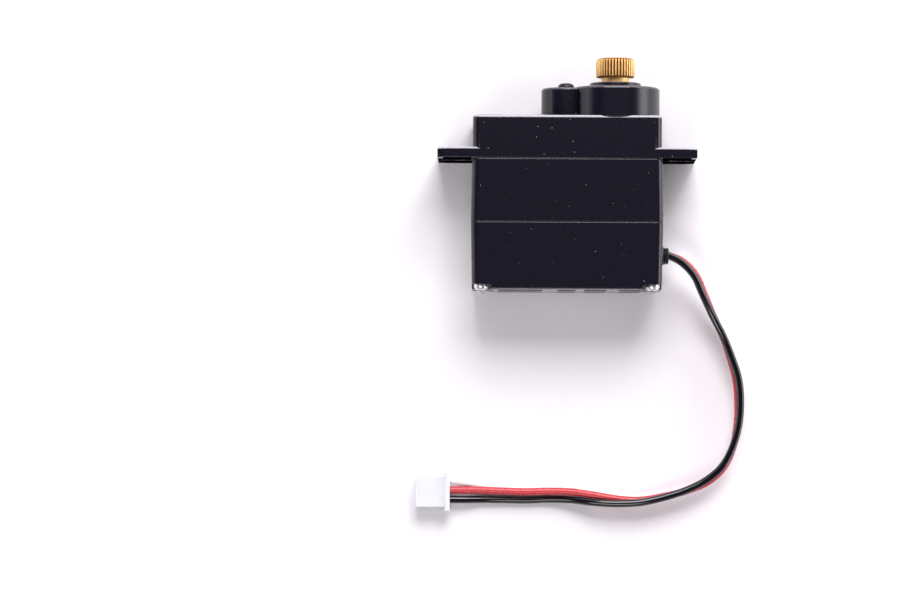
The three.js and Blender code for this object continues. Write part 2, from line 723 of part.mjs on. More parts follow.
const SENSOR_WIRE_ENDS = [4.8, 6.5, 8.2];
SENSOR_WIRE_ENDS.forEach((z, i) => {
  const points = [
    new THREE.Vector3(OUTPUT_X + 0.6, SENSOR.low - 0.2, z),
    new THREE.Vector3(OUTPUT_X + 0.8, 10.5, z),
    new THREE.Vector3(OUTPUT_X + 1.4, 7, z),
    new THREE.Vector3(OUTPUT_X + 1.2, BOARD.high + 0.2, z),
  ];
  addPiece(boardGroup, `sensor_wire_${i + 1}`, RED_WIRE, wireAlong(points, 0.7, 6, 6));
});

// ---------------------------------------------------------------- lead

const leadGroup = group();
const WIRE_LOOKS = { black: BLACK_WIRE, red: RED_WIRE, white: WHITE_WIRE };

// The grommet: a lip inside the wall, a neck through it, a thin lip outside and a rounded nub.
function grommetSolid() {
  const [left, right] = [12.6, LEAD_ROUTE[0][0] - GAP];
  const wallInside = BOTTOM_HALF.low - WALL;
  const lip = BOTTOM_HALF.high + 0.15;
  return join(
    crosswise(roundedRectangle(1.4, 2.7, 1.2), left, wallInside, GROMMET_Y, MIDDLE),
    crosswise(roundedRectangle(1, 2.3, 0.95), left + 0.1, right - 0.1, GROMMET_Y, MIDDLE),
    crosswise(roundedRectangle(1.4, 2.7, 1.2), lip - 0.15, lip + 0.1, GROMMET_Y, MIDDLE),
    crosswise(roundedRectangle(1.07, 2.4, 1), lip, right, GROMMET_Y, MIDDLE),
  );
}

// One wire's points: the red wire's own, or those beside it by the shifts to the left and up.
function routeOf(leftColumn, upColumn) {
  return LEAD_ROUTE.map((row, i) => {
    const before = LEAD_ROUTE[Math.max(i - 1, 0)];
    const after = LEAD_ROUTE[Math.min(i + 1, LEAD_ROUTE.length - 1)];
    const along = new THREE.Vector2(after[0] - before[0], after[1] - before[1]).normalize();
    const left = leftColumn ? row[leftColumn] : 0;
    const up = upColumn ? row[upColumn] : 0;
    return new THREE.Vector3(row[0] - along.y * left, row[1] + along.x * left, row[2] + up);
  });
}

const LEAD_ROUTES = { black: routeOf(3, 4), red: routeOf(), white: routeOf(5, 6) };

addPiece(leadGroup, "grommet", RUBBER, grommetSolid());
for (const [colour, points] of Object.entries(LEAD_ROUTES))
  addPiece(leadGroup, `lead_${colour}`, WIRE_LOOKS[colour], wireAlong(points, WIRE, 26, 8));

// The wires' tails inside the case, from the grommet to the board.
Object.keys(LEAD_ROUTES).forEach((colour, i) => {
  const z = MIDDLE + 1.25 * (1 - i);
  const points = [
    new THREE.Vector3(12.3, GROMMET_Y, z),
    new THREE.Vector3(11.2, GROMMET_Y - 0.3, z),
    new THREE.Vector3(10.3, 4.2, z),
    new THREE.Vector3(10.1, BOARD.high + 0.2, z),
  ];
  addPiece(leadGroup, `lead_tail_${colour}`, WIRE_LOOKS[colour], wireAlong(points, 0.9, 5, 6));
});

// ---------------------------------------------------------------- plug

const plugGroup = group();
const PLUG_ROWS = [-1, 0, 1].map((place) => PLUG.y + place * PLUG.pitch);
const SOCKET = 0.45; // half the width of each contact's room
const SOCKET_DEPTH = 4;

function plugHousing() {
  const body = block(
    [PLUG.far, PLUG.y - PLUG.halfWidth, 0],
    [PLUG.mouth, PLUG.y + PLUG.halfWidth, PLUG.height],
  );
  const flange = block(
    [PLUG.mouth - PLUG.flangeThickness, PLUG.y - PLUG.flangeHalfWidth, 0],
    [PLUG.mouth, PLUG.y + PLUG.flangeHalfWidth, PLUG.height + 0.3],
  );
  const rooms = PLUG_ROWS.map((y) =>
    block(
      [PLUG.far - 1, y - SOCKET, PLUG.height / 2 - SOCKET],
      [PLUG.far + SOCKET_DEPTH, y + SOCKET, PLUG.height / 2 + SOCKET],
    ),
  );
  return cut(join(body, flange), ...rooms);
}

addPiece(plugGroup, "plug_housing", WHITE_PLASTIC, plugHousing());
PLUG_ROWS.forEach((y, i) => {
  const half = SOCKET - 0.1;
  addPiece(
    plugGroup,
    `plug_contact_${i + 1}`,
    STEEL,
    block(
      [PLUG.far + 0.4, y - half, PLUG.height / 2 - half],
      [PLUG.far + SOCKET_DEPTH - 0.3, y + half, PLUG.height / 2 + half],
    ),
  );
});

export default servo;
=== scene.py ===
"""A mini servo motor on a pale floor: the camera, the lights and the finished look of every piece.

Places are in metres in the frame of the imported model: x runs across the mounting tabs, y towards the
spline, z up from the floor. Sizes that a person would measure with a calliper are written as mm(...).
"""

import json
import math

import bmesh
import bpy
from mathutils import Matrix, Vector


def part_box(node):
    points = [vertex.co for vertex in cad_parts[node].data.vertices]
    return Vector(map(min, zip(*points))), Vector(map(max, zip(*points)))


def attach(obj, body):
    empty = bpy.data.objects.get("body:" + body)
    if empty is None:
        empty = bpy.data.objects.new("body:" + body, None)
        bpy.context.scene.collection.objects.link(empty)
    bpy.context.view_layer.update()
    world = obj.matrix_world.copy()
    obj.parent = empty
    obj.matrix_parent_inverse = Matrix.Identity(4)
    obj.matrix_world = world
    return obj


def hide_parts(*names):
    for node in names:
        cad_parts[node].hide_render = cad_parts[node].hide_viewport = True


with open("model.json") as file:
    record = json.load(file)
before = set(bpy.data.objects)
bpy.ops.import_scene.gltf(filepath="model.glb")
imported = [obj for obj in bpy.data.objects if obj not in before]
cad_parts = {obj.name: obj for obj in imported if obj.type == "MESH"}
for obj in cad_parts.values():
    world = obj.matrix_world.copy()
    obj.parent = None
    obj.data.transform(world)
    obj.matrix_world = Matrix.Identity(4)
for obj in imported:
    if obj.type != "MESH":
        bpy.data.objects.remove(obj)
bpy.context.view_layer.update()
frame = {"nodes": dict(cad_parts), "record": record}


def mm(value):
    return value * 0.001


def in_mm(metres):
    return metres * 1000


# ---------------------------------------------------------------- places read from the frame

TOP_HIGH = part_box("top_case")[1]
MID_LOW, MID_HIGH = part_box("mid_case")
BOTTOM_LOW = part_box("bottom_case")[0]
GROMMET_LOW, GROMMET_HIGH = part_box("grommet")
PLUG_LOW, PLUG_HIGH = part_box("plug_housing")
SHAFT_LOW, SHAFT_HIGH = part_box("output_shaft")
AXLE_LOW, AXLE_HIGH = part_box("gear_axle")
LABEL_LOW, LABEL_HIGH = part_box("bottom_label")

DEPTH = MID_HIGH.z
MIDDLE = DEPTH / 2
BASE_Y = BOTTOM_LOW.y
HIGH_SEAM = MID_HIGH.y
LOW_SEAM = MID_LOW.y
TAB_HALF = TOP_HIGH.x
ROOF = BASE_Y + mm(26.3)
OUTPUT_X = (SHAFT_LOW.x + SHAFT_HIGH.x) / 2
AXLE_X = (AXLE_LOW.x + AXLE_HIGH.x) / 2

# ---------------------------------------------------------------- camera

LENS = 196
CAMERA_TURN = tuple(math.radians(angle) for angle in (2.54, 0.423, 0.3))
CAMERA_PLACE = (mm(-12), mm(-52.1), mm(751.4))

camera = bpy.data.objects.new("camera", bpy.data.cameras.new("camera"))
camera.data.lens = LENS
camera.data.clip_start = 0.01
camera.data.clip_end = 20
camera.location = CAMERA_PLACE
camera.rotation_euler = CAMERA_TURN
bpy.context.scene.collection.objects.link(camera)
bpy.context.scene.camera = camera
bpy.context.scene.view_settings.view_transform = "Standard"

# ---------------------------------------------------------------- node materials


class Look:
    """A node material in the making: a Principled shader and short ways to add nodes to it.

    Lengths in a look are in millimetres. Where rough() is called, roughness is about its middle value.
    """

    NOISE_ROUGHNESS = 0.55

    def __init__(self, name, roughness, metallic=0.0, **settings):
        self.material = bpy.data.materials.new(name)
        self.material.use_nodes = True
        self.tree = self.material.node_tree
        self.shader = self.tree.nodes["Principled BSDF"]
        self.shader.inputs["Roughness"].default_value = roughness
        self.shader.inputs["Metallic"].default_value = metallic
        for socket, value in settings.items():
            self.shader.inputs[socket.replace("_", " ")].default_value = value
        self.millimetres = self.add("ShaderNodeVectorMath", operation="SCALE")
        coordinates = self.add("ShaderNodeTexCoord")
        self.join(coordinates.outputs["Object"], self.millimetres.inputs[0])
        self.millimetres.inputs["Scale"].default_value = in_mm(1)

    def add(self, kind, **settings):
        node = self.tree.nodes.new(kind)
        for key, value in settings.items():
            setattr(node, key, value)
        return node

    def join(self, source, target):
        self.tree.links.new(source, target)

    def point(self, stretch=(1, 1, 1)):
        """Object coordinates in millimetres, stretched along each axis."""
        scaled = self.add("ShaderNodeVectorMath", operation="MULTIPLY")
        self.join(self.millimetres.outputs[0], scaled.inputs[0])
        scaled.inputs[1].default_value = stretch
        return scaled.outputs[0]

    def noise(self, per_mm, detail, stretch=(1, 1, 1)):
        node = self.add("ShaderNodeTexNoise")
        node.inputs["Scale"].default_value = per_mm
        node.inputs["Detail"].default_value = detail
        node.inputs["Roughness"].default_value = self.NOISE_ROUGHNESS
        self.join(self.point(stretch), node.inputs["Vector"])
        return node.outputs["Fac"]

    def cells(self, per_mm):
        """The distance to the nearest of many scattered points, so 0 at each of them."""
        node = self.add("ShaderNodeTexVoronoi")
        node.inputs["Scale"].default_value = per_mm
        self.join(self.point(), node.inputs["Vector"])
        return node.outputs["Distance"]

    def span(self, source, low, high, to_low=0.0, to_high=1.0):
        """source stretched so that low gives to_low and high gives to_high, smoothly in between."""
        node = self.add("ShaderNodeMapRange", interpolation_type="SMOOTHSTEP")
        values = {"From Min": low, "From Max": high, "To Min": to_low, "To Max": to_high}
        for socket, value in values.items():
            node.inputs[socket].default_value = value
        self.join(source, node.inputs["Value"])
        return node.outputs["Result"]

    def maths(self, operation, first, second=0.0):
        node = self.add("ShaderNodeMath", operation=operation, use_clamp=operation != "ABSOLUTE")
        for socket, value in zip(node.inputs, (first, second)):
            if isinstance(value, (int, float)):
                socket.default_value = value
            else:
                self.join(value, socket)
        return node.outputs[0]

    def times(self, first, second):
        return self.maths("MULTIPLY", first, second)

    def mix(self, share, first, second):
        """One colour, or another where share is 1. Each is a colour or an output."""
        node = self.add("ShaderNodeMix", data_type="RGBA")
        self.join(share, node.inputs["Factor"])
        for socket, value in ((node.inputs[6], first), (node.inputs[7], second)):
            if isinstance(value, tuple):
                socket.default_value = (*value, 1)
            else:
                self.join(value, socket)
        return node.outputs[2]

    def edges(self, radius, low=0.02, high=0.25):
        """1 on edges and 0 on flat faces, from how far a bevel of that radius would tilt the surface."""
        rounded = self.add("ShaderNodeBevel", samples=4)
        rounded.inputs["Radius"].default_value = mm(radius)
        true = self.add("ShaderNodeNewGeometry")
        facing = self.add("ShaderNodeVectorMath", operation="DOT_PRODUCT")
        self.join(rounded.outputs["Normal"], facing.inputs[0])
        self.join(true.outputs["Normal"], facing.inputs[1])
        return self.span(facing.outputs["Value"], 1 - low, 1 - high)

    def facing(self, axis, low, high):
        """1 where the surface faces along an axis by more than high, and 0 where by less than low."""
        true = self.add("ShaderNodeNewGeometry")
        parts = self.add("ShaderNodeSeparateXYZ")
        self.join(true.outputs["True Normal"], parts.inputs[0])
        return self.span(parts.outputs[axis], low, high)

    def axis(self, name):
        """One of the object coordinates, in millimetres."""
        parts = self.add("ShaderNodeSeparateXYZ")
        self.join(self.millimetres.outputs[0], parts.inputs[0])
        return parts.outputs[name]

    def bars(self, source, pairs, soft=0.03):
        """1 between each pair of values and 0 elsewhere."""
        total = None
        for low, high in pairs:
            past_low = self.span(source, low - soft, low + soft)
            before_high = self.span(source, high + soft, high - soft)
            inside = self.times(past_low, before_high)
            total = self.maths("ADD", total, inside) if total else inside
        return total

    def colour(self, source):
        self.join(source, self.shader.inputs["Base Color"])

    def rough(self, source):
        self.join(source, self.shader.inputs["Roughness"])

    def bump(self, height, rise):
        """Bumps that rise by so many millimetres where height is 1."""
        node = self.add("ShaderNodeBump")
        node.inputs["Distance"].default_value = mm(rise)
        self.join(height, node.inputs["Height"])
        self.join(node.outputs["Normal"], self.shader.inputs["Normal"])


def case_plastic():
    """Black moulded nylon: fine spark-eroded grain, dust, hairline scratches, pale edges that are partly
    wear and partly painted highlight, and a painted highlight on the rounded edges that face up.
    """
    look = Look("case_plastic", roughness=0.26)
    grain = look.span(look.noise(6, detail=2), 0.3, 0.72)
    black = look.mix(grain, (0.0008, 0.0004, 0.0052), (0.0034, 0.0024, 0.0092))
    pale = (0.56, 0.53, 0.58)

    # Each kind of mark gathers in loose patches.
    dots = look.span(look.cells(1.1), 0.07, 0.035)
    dust = look.times(dots, look.span(look.noise(0.7, detail=1), 0.5, 0.6))
    dots = look.span(look.cells(3.1), 0.15, 0.07)
    specks = look.times(dots, look.span(look.noise(0.5, detail=4), 0.5, 0.66))
    streaks = look.span(look.noise(2.6, detail=2, stretch=(0.25, 3.5, 3.5)), 0.69, 0.76)
    scratches = look.times(streaks, look.span(look.noise(0.45, detail=2), 0.48, 0.62))

    # Edges are pale in flecks, partly wear and partly a painted highlight that is stronger towards the
    # higher seam than the lower one, and none on the head's edges.
    height = look.axis("Y")
    below_head = look.span(height, in_mm(ROOF) - 0.02, in_mm(ROOF) - 0.08)
    flecks = look.span(look.noise(2.2, detail=4), 0.44, 0.64, 0.1, 1)
    worn_and_highlit = look.times(look.times(look.edges(0.2), flecks), below_head)
    wear_and_highlight_by_height = look.span(height, in_mm(LOW_SEAM) + 1, in_mm(HIGH_SEAM) - 1, 0.14, 0.42)

    # The rounded edges of the roof and the tabs, facing up and towards the spline, get a painted highlight
    # where the key light would glint on them.
    rounded = look.times(look.facing("Y", 0.05, 0.3), look.facing("Z", 0.05, 0.3))
    above_seam = look.span(height, in_mm(HIGH_SEAM) + 0.5, in_mm(HIGH_SEAM) + 0.6)
    painted_highlight = look.times(rounded, look.times(above_seam, look.span(below_head, 0, 1, 0.12, 1)))

    marks = look.times(dust, 0.9)
    for mask, strength in ((specks, 0.06), (scratches, 0.05), (worn_and_highlit, wear_and_highlight_by_height), (painted_highlight, 0.7)):
        marks = look.maths("ADD", marks, look.times(mask, strength))
    look.colour(look.mix(marks, black, pale))
    look.rough(look.span(look.noise(5, detail=2), 0.3, 0.7, 0.24, 0.29))
    look.bump(look.noise(6, detail=3), 0.004)
    return look.material


def tab_underside():
    """The dark underside of a mounting tab, with a painted highlight streak along it and painted
    reflections of the pale floor at its front corners.
    """
    look = Look("tab_underside", roughness=0.7, Specular_IOR_Level=0.0)
    middle, end, front = in_mm(MIDDLE), in_mm(TAB_HALF), in_mm(DEPTH)
    # A painted highlight streak along the middle of the underside.
    painted_streak = look.times(
        look.bars(look.axis("Z"), [(middle - 0.6, middle + 0.3)], 0.25),
        look.span(look.noise(0.9, detail=3, stretch=(1, 1, 4)), 0.46, 0.56),
    )
    # Painted reflections of the pale floor at the front corners.
    corners = look.times(
        look.span(look.maths("ABSOLUTE", look.axis("X")), end - 0.9, end - 0.7),
        look.span(look.axis("Z"), front - 3, front - 2),
    )
    # marks holds only the painted highlight streak and the painted reflections.
    marks = look.maths("ADD", look.times(painted_streak, 0.25), look.times(corners, 0.6))
    look.colour(look.mix(marks, (0.0015, 0.0012, 0.0025), (0.9, 0.88, 0.9)))
    return look.material


def label_foil():
    """Grey-mauve foil, brushed along x, with a few plain printed bars."""
    look = Look("label_foil", roughness=0.42, Specular_IOR_Level=0.0)
    clouds = look.span(look.noise(1.6, detail=5), 0.3, 0.7)
    foil = look.mix(clouds, (0.34, 0.3, 0.34), (0.5, 0.45, 0.5))
    columns = look.bars(look.axis("X"), [(-10.4, -3.7), (-1.4, 1.4), (2.7, 6.0), (8.0, 11.2)])
    rows = look.bars(look.axis("Z"), [(1.7, 2.5), (3.2, 4.4), (6.7, 8.5), (9.2, 10.9)], 0.06)
    ink_left = look.span(look.noise(2.5, detail=4), 0.3, 0.42, 0.8, 1)
    print_mask = look.times(look.times(columns, rows), ink_left)
    look.colour(look.mix(print_mask, foil, (0.01, 0.009, 0.012)))
    look.rough(look.span(look.noise(3, detail=3), 0.3, 0.7, 0.34, 0.5))
    look.bump(look.noise(4, detail=2, stretch=(9, 1, 1)), 0.003)
    return look.material


def from_output_axis(look):
    """How far a point is from the output shaft's axis, in millimetres."""
    centred = look.add("ShaderNodeVectorMath", operation="SUBTRACT")
    look.join(look.point(), centred.inputs[0])
    centred.inputs[1].default_value = (in_mm(OUTPUT_X), 0, in_mm(MIDDLE))
    flat = look.add("ShaderNodeVectorMath", operation="MULTIPLY")
    look.join(centred.outputs[0], flat.inputs[0])
    flat.inputs[1].default_value = (1, 0, 1)
    radius = look.add("ShaderNodeVectorMath", operation="LENGTH")
    look.join(flat.outputs[0], radius.inputs[0])
    return radius.outputs["Value"]


def brass(name="brass", grooves=None):
    """Machined brass. Between two radii from the output axis, where given, it is darkened with a painted
    shade that fills the spline's grooves.
    """
    look = Look(name, roughness=0.56, metallic=1.0)
    clouds = look.span(look.noise(1.4, detail=4), 0.3, 0.7)
    colour = look.mix(clouds, (0.9, 0.58, 0.24), (1.0, 0.7, 0.33))
    stains = look.span(look.noise(2, detail=3), 0.55, 0.75, 0, 0.3)
    colour = look.mix(stains, colour, (0.4, 0.22, 0.08))
    if grooves:
        inner, outer = grooves
        radius = from_output_axis(look)
        # Painted shade in the spline's grooves, between the two radii.
        between = look.times(look.span(radius, outer, outer - 0.1), look.span(radius, inner, inner + 0.2))
        colour = look.mix(between, colour, (0.26, 0.11, 0.025))
    look.colour(colour)
    look.rough(look.span(look.noise(3, detail=3), 0.3, 0.7, 0.52, 0.6))
    look.bump(look.noise(5, detail=2, stretch=(1, 9, 1)), 0.001)
    return look.material


def metal(name, colour, roughness):
    """Turned or rolled metal: tool marks along one way and duller patches."""
    look = Look(name, roughness=roughness, metallic=1.0)
    dull = tuple(0.6 * c for c in colour)
    look.colour(look.mix(look.span(look.noise(1.7, detail=5), 0.42, 0.75, 0, 0.8), colour, dull))
    look.rough(look.span(look.noise(3, detail=3), 0.3, 0.7, 0.75 * roughness, 1.3 * roughness))
    look.bump(look.noise(4, detail=2, stretch=(1, 12, 1)), 0.004)
    return look.material


def moulded(name, colour, roughness, shade=0.82, grain=0.004, **settings):
    """Moulded plastic, rubber, resin or ceramic: even colour with faint clouds and a fine grain."""
    look = Look(name, roughness=roughness, **settings)
    darker = tuple(shade * c for c in colour)
    look.colour(look.mix(look.span(look.noise(0.9, detail=5), 0.35, 0.7), colour, darker))
    look.rough(look.span(look.noise(2.5, detail=3), 0.3, 0.7, 0.85 * roughness, 1.2 * roughness))
    look.bump(look.noise(8, detail=3), grain)
    return look.material


def insulation(name, colour, roughness, **settings):
    """A wire's smooth, soft skin."""
    return moulded(name, colour, roughness, grain=0.0002, **settings)


MATERIALS = {
    "case_plastic": case_plastic(),
    "brass": brass(),
    "steel": metal("steel", (0.74, 0.73, 0.75), 0.32),
    "black_steel": metal("black_steel", (0.03, 0.028, 0.034), 0.3),
    "copper": metal("copper", (0.66, 0.3, 0.15), 0.32),
    "magnet": moulded("magnet", (0.055, 0.055, 0.06), 0.55),
    "label_foil": label_foil(),
    "white_plastic": moulded("white_plastic", (0.7, 0.715, 0.75), 0.42, shade=0.95),
    "tinned_contact": metal("tinned_contact", (0.66, 0.65, 0.62), 0.3),
    "beige_plastic": moulded("beige_plastic", (0.62, 0.55, 0.42), 0.5),
    "circuit_board": moulded("circuit_board", (0.015, 0.12, 0.045), 0.3),
    "chip_resin": moulded("chip_resin", (0.014, 0.014, 0.016), 0.5),
    "rubber": moulded("rubber", (0.004, 0.0035, 0.005), 0.4, grain=0.01, Specular_IOR_Level=0.3),
    "wire_black": insulation("wire_black", (0.004, 0.0035, 0.006), 0.12, Specular_IOR_Level=0.65),
    "wire_red": insulation("wire_red", (0.5, 0.026, 0.038), 0.26, shade=0.94),
    "wire_white": insulation("wire_white", (0.84, 0.82, 0.84), 0.3, shade=0.94),
}

# The spline's brass, with painted shade in its grooves.
SPLINE_BRASS = brass("spline_brass", grooves=(2.3, 2.88))
TAB_UNDERSIDE = tab_underside()

CREASE = math.radians(32)  # edges sharper than this stay crisp

for row in frame["record"]["subparts"]:
    cad_node = frame["nodes"][row["node"]]
    cad_node.data.materials.clear()
    cad_node.data.materials.append(MATERIALS[row["material_slot"]])
    cad_node.data.shade_smooth()
    cad_node.data.set_sharp_from_angle(angle=CREASE)

# ---------------------------------------------------------------- lead

WIRE = mm(1.15)  # across the insulation
INTO_GROMMET = mm(0.6)
INTO_PLUG = mm(1.2)
CASE_BOTTOM_Y = -17.55  # y of the case's bottom face, from which the route is measured

# The lead's route. Each row is a point of the red wire, x, y, z, then how far the black and the white
# wires lie to its left and above it: the three leave the grommet stacked on edge and reach the plug flat.
LEAD_ROUTE = [
    (15.8, 5.3, 6.45, -0.1, 1.25, 0.1, -1.25),
    (17.6, 4.6, 6.1, -0.3, 1.2, 0.1, -1.25),
    (19.7, 2.6, 5.0, -0.35, 1.2, 0, -1.25),
    (21.2, -0.5, 3.5, -0.3, 1.2, 0, -1.25),
    (22.6, -3.65, 2.3, -0.15, 1.25, 0, -1.25),
    (24.1, -6.8, 1.9, 0, 1.25, 0, -1.25),
    (25.3, -10.3, 1.85, 0.2, 1.25, 0.1, -1.25),
    (26.1, -13.3, 1.85, 0.35, 1.2, 0.1, -1.25),
    (26.4, -16.7, 1.85, 0.35, 1.2, 0.1, -1.25),
    (26.3, -20.2, 1.85, 0.2, 1.25, 0, -1.25),
    (25.6, -23.8, 1.85, -0.1, 1.25, 0, -1.25),
    (24.25, -26.7, 1.85, -0.3, 1.2, 0, -1.25),
    (21.9, -28.9, 1.85, -0.35, 1.2, 0, -1.25),
    (18.65, -30.3, 1.85, -0.1, 1.25, 0, -1.25),
    (15.15, -31.2, 1.85, 0.15, 1.25, 0, -1.25),
    (11.55, -31.8, 1.85, 0.35, 1.2, -0.1, -1.25),
    (8.15, -31.65, 1.85, 0.7, 1.05, -0.3, -1.22),
    (4.65, -31.1, 1.85, 1.1, 0.6, -0.35, -1.22),
    (1.15, -30.6, 1.85, 1.2, -0.4, -0.35, -1.22),
    (-2.45, -30.5, 1.85, 1.2, -1.1, -0.3, -1.22),
    (-6.05, -30.6, 1.85, 1.25, -1.2, -0.3, -1.22),
    (-9.7, -30.5, 1.85, 1.3, -1.2, -0.3, -1.22),
    (-13, -30.4, 1.8, 1.4, -0.95, -0.65, -1.1),
    (-15.4, -30.4, 1.7, 1.45, -0.4, -1.2, -0.6),
    (-17.3, -30.4, 1.65, 1.45, 0, -1.5, 0),
]


def wire_points(left_column=None, up_column=None):
    """One wire's points, in metres: the red wire's own, or those beside it."""
    points = []
    for i, row in enumerate(LEAD_ROUTE):
        before, after = LEAD_ROUTE[max(i - 1, 0)], LEAD_ROUTE[min(i + 1, len(LEAD_ROUTE) - 1)]
        along = Vector((after[0] - before[0], after[1] - before[1])).normalized()
        left = row[left_column] if left_column else 0
        up = row[up_column] if up_column else 0
        place = Vector((row[0] - along.y * left, row[1] + along.x * left + CASE_BOTTOM_Y, row[2] + up))
        points.append(mm(place))
    first, last = points[0], points[-1]
    points[0] = first + (first - points[1]).normalized() * INTO_GROMMET
    points[-1] = last + (last - points[-2]).normalized() * INTO_PLUG
    return points


def smooth_through(points, steps=8):
    """A centripetal Catmull-Rom curve through the points."""
    ends = [2 * points[0] - points[1], *points, 2 * points[-1] - points[-2]]
    curve = []
    for p0, p1, p2, p3 in zip(ends, ends[1:], ends[2:], ends[3:]):
        gap0, gap1, gap2 = (math.sqrt((b - a).length) for a, b in ((p0, p1), (p1, p2), (p2, p3)))
        start = ((p1 - p0) / gap0 - (p2 - p0) / (gap0 + gap1) + (p2 - p1) / gap1) * gap1
        stop = ((p2 - p1) / gap1 - (p3 - p1) / (gap1 + gap2) + (p3 - p2) / gap2) * gap1
        for step in range(steps):
            t = step / steps
            curve.append(
                (2 * t**3 - 3 * t**2 + 1) * p1
                + (t**3 - 2 * t**2 + t) * start
                + (-2 * t**3 + 3 * t**2) * p2
                + (t**3 - t**2) * stop
            )
    return [*curve, points[-1]]


def wire_curve(name, points, slot):
    """A wire as a round curve on the servo's body, with the line of points that it follows."""
    data = bpy.data.curves.new(name, "CURVE")
    data.dimensions = "3D"
    data.bevel_depth = WIRE / 2
    data.bevel_resolution = 5
    data.use_fill_caps = True
    spline = data.splines.new("POLY")
    line = smooth_through(points)
    spline.points.add(len(line) - 1)
    for point, place in zip(spline.points, line):
        point.co = (*place, 1)
    spline.use_smooth = True
    data.materials.append(MATERIALS[slot])
    wire = bpy.data.objects.new(name, data)
    bpy.context.scene.collection.objects.link(wire)
    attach(wire, "servo_case")
    return wire, line


# ---------------------------------------------------------------- mesh building


def new_object(name, builder):
    """An object from a bmesh, which is used up."""
    bmesh.ops.recalc_face_normals(builder, faces=builder.faces)
    mesh = bpy.data.meshes.new(name)
    builder.to_mesh(mesh)
    builder.free()
    made = bpy.data.objects.new(name, mesh)
    bpy.context.scene.collection.objects.link(made)
    return made


def loft(name, rings):
    """A closed skin over rings of equally many points."""
    builder = bmesh.new()
    loops = [[builder.verts.new(point) for point in ring] for ring in rings]
    count = len(rings[0])
    for low, high in zip(loops, loops[1:]):
        for i in range(count):
            j = (i + 1) % count
            builder.faces.new((low[i], low[j], high[j], high[i]))
    builder.faces.new(loops[0])
    builder.faces.new(loops[-1])
    return new_object(name, builder)


def bake_modifiers(piece):
    """The piece's modifiers applied to its mesh."""
    evaluated = piece.evaluated_get(bpy.context.evaluated_depsgraph_get())
    mesh = bpy.data.meshes.new_from_object(evaluated)
    piece.modifiers.clear()
    piece.data = mesh


def combine(piece, others, operation):
    """piece with the others cut away from it or joined to it; the others are used up."""
    for other in others:
        modifier = piece.modifiers.new("combine", "BOOLEAN")
        modifier.operation = operation
        modifier.solver = "EXACT"
        modifier.object = other
        bake_modifiers(piece)
        bpy.data.objects.remove(other)
    return piece


def finished(piece, body, slot, node):
    """The piece with smooth shading and crisp edges, riding on its body in place of its node."""
    piece.data.shade_smooth()
    piece.data.set_sharp_from_angle(angle=CREASE)
    weighted = piece.modifiers.new("weighted", "WEIGHTED_NORMAL")
    weighted.keep_sharp = True
    bake_modifiers(piece)
    piece.data.materials.clear()
    piece.data.materials.append(MATERIALS[slot])
    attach(piece, body)
    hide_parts(node)
    return piece


def ends_rounded(low, high, low_radius, high_radius, steps=4):
    """Inset and height pairs up a wall whose two ends are rounded over."""
    pairs = []
    for k in range(steps + 1):
        turn = math.pi / 2 * (1 - k / steps)
        pairs.append((low_radius * (1 - math.cos(turn)), low + low_radius * (1 - math.sin(turn))))
    for k in range(steps + 1):
        turn = math.pi / 2 * k / steps
        pairs.append((high_radius * (1 - math.cos(turn)), high - high_radius * (1 - math.sin(turn))))
    return pairs


def rounded_rectangle(half_x, half_z, radius, steps=6):
    """(x, z) points round a rectangle with round corners."""
    points = []
    for corner, (sx, sz) in enumerate(((1, 1), (-1, 1), (-1, -1), (1, -1))):
        for k in range(steps + 1):
            turn = math.pi / 2 * (corner + k / steps)
            x = sx * (half_x - radius) + radius * math.cos(turn)
            z = sz * (half_z - radius) + radius * math.sin(turn)
            points.append((x, z))
    return points


def circle(radius, sides):
    turns = [2 * math.pi * i / sides for i in range(sides)]
    return [(radius * math.cos(turn), radius * math.sin(turn)) for turn in turns]


def upright_ring(outline, y, x=0.0, z=None):
    """An (x, z) outline as a ring at height y along the shaft's way."""
    z = MIDDLE if z is None else z
    return [Vector((x + px, y, z + pz)) for px, pz in outline]


def block(name, half_width, half_depth, low, high, corner, low_edge, high_edge):
    """A box along y with round corners and rounded ends. A drafted one's half_width is a function of y."""
    least_corner = mm(0.05)
    rings = []
    for inset, y in ends_rounded(low, high, low_edge, high_edge):
        half = half_width(y) if callable(half_width) else half_width
        outline = rounded_rectangle(half - inset, half_depth - inset, max(corner - inset, least_corner))
        rings.append(upright_ring(outline, y))
    return loft(name, rings)


def turned(name, profile, x, z=None, sides=64):
    """A turned solid along y from (radius, y) pairs."""
    return loft(name, [upright_ring(circle(radius, sides), y, x, z) for radius, y in profile])


def turned_ring(name, profile, x, sides=96):
    """A ring along y: the profile's (radius, y) pairs close on themselves."""
    builder = bmesh.new()
    rings = [
        [builder.verts.new(point) for point in upright_ring(circle(radius, sides), y, x)]
        for radius, y in profile
    ]
    for low, high in zip(rings, [*rings[1:], rings[0]]):
        for i in range(sides):
            j = (i + 1) % sides
            builder.faces.new((low[i], low[j], high[j], high[i]))
    return new_object(name, builder)


def drum(name, radius, low, high, x, top_edge):
    """A round boss along y whose top edge is rounded over."""
    pairs = ends_rounded(low, high, 0, top_edge)
    return turned(name, [(radius - inset, y) for inset, y in pairs], x, sides=96)


def rod(name, radius, low, high, x, z=None, sides=32):
    return turned(name, [(radius, low), (radius, high)], x, z, sides)


# ---------------------------------------------------------------- case

WALL = mm(1)
CORNER = mm(1.1)
SEAM_EDGE = mm(0.14)
ROOF_EDGE = mm(0.4)
BASE_EDGE = mm(0.15)
TOP_HALF = mm(14.3)
RIM_HALF = mm(14.45)
MID_HALF_LOW, MID_HALF_HIGH = mm(14.55), mm(14.4)
BASE_HALF_LOW, BASE_HALF_HIGH = mm(14.35), mm(14.55)
MOTOR_X = mm(-6.4)

